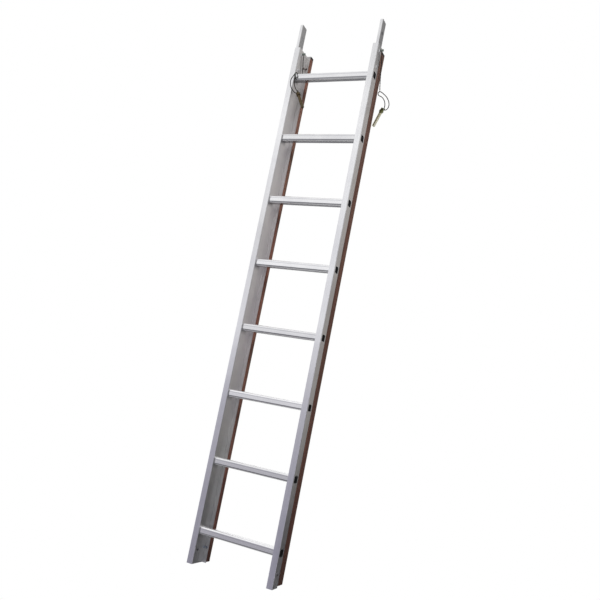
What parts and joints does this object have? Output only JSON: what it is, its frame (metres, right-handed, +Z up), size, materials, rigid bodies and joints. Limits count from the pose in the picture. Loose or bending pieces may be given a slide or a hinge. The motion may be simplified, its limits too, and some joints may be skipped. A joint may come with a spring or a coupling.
{
  "type": "roof ladder section",
  "caption": "Aluminium roof ladder section with timber runners behind its stiles, square rungs, connector tongues on top and locking pins on chain and wire lanyards.",
  "frame": {"origin": "midway between the foot sockets of the two stiles, on the plane of the feet, at the middle of the stile box's depth", "axes": "+Z up along the stiles towards the tongues, +X along the rungs towards the stile whose lanyard hangs outside, +Y towards the runners and the roof; the climbing side faces -Y"},
  "size_m": [0.3932, 0.1365, 2.09],
  "materials": {
    "stile_alloy": "mill finish, satin",
    "runner_timber": "reddish brown hardwood, oiled",
    "cap_plastic": "matt",
    "rung_alloy": "mill finish, satin",
    "plug_plastic": "satin",
    "tongue_alloy": "mill finish, satin",
    "rivet_alloy": "dull",
    "fitting_steel": "zinc plated",
    "chain_steel": "zinc plated",
    "wire_steel": "stranded",
    "pin_zinc": "yellow zinc plated"
  },
  "bodies": {
    "ladder": {"stile_left": "stile_alloy", "stile_right": "stile_alloy", "runner_left": "runner_timber", "runner_right": "runner_timber", "runner_cap_left": "cap_plastic", "runner_cap_right": "cap_plastic", "rung_1": "rung_alloy", "rung_2": "rung_alloy", "rung_3": "rung_alloy", "rung_4": "rung_alloy", "rung_5": "rung_alloy", "rung_6": "rung_alloy", "rung_7": "rung_alloy", "rung_8": "rung_alloy", "rung_plugs_left": "plug_plastic", "rung_plugs_right": "plug_plastic", "tongue_left": "tongue_alloy", "tongue_right": "tongue_alloy", "tongue_rivets_left": "rivet_alloy", "tongue_rivets_right": "rivet_alloy", "tongue_spacers_left": "rivet_alloy", "tongue_spacers_right": "rivet_alloy", "runner_screws_left": "fitting_steel", "runner_screws_right": "fitting_steel", "anchor_stud_left": "fitting_steel", "anchor_stud_right": "fitting_steel", "chain_ring_left": "fitting_steel", "chain_left": "chain_steel", "loop_link_left": "fitting_steel", "wire_loop_left": "wire_steel", "crimp_ball_left": "pin_zinc"},
    "lanyard_right": {"chain_ring_right": "fitting_steel", "chain_right": "chain_steel", "loop_link_right": "fitting_steel", "wire_loop_right": "wire_steel", "crimp_ball_right": "pin_zinc"},
    "pin_right": {"locking_pin_right": "pin_zinc", "eye_rivet_right": "fitting_steel"},
    "pin_left": {"locking_pin_left": "pin_zinc", "eye_rivet_left": "fitting_steel"}
  },
  "joints": [
    {"name": "lanyard_right_swing", "type": "hinge", "parent": "ladder", "child": "lanyard_right", "pos_m": [0.181, 0.012, 1.978], "axis": [1, 0, 0], "range_deg": [-2, 60]},
    {"name": "pin_right_swing", "type": "hinge", "parent": "lanyard_right", "child": "pin_right", "pos_m": [0.1948, 0.087, 1.7836], "axis": [0.9135, 0, -0.4067], "range_deg": [-10, 15]},
    {"name": "pin_left_swing", "type": "hinge", "parent": "ladder", "child": "pin_left", "pos_m": [-0.133, 0, 1.8103], "axis": [0.8746, 0, 0.4848], "range_deg": [-25, 35]}
  ]
}
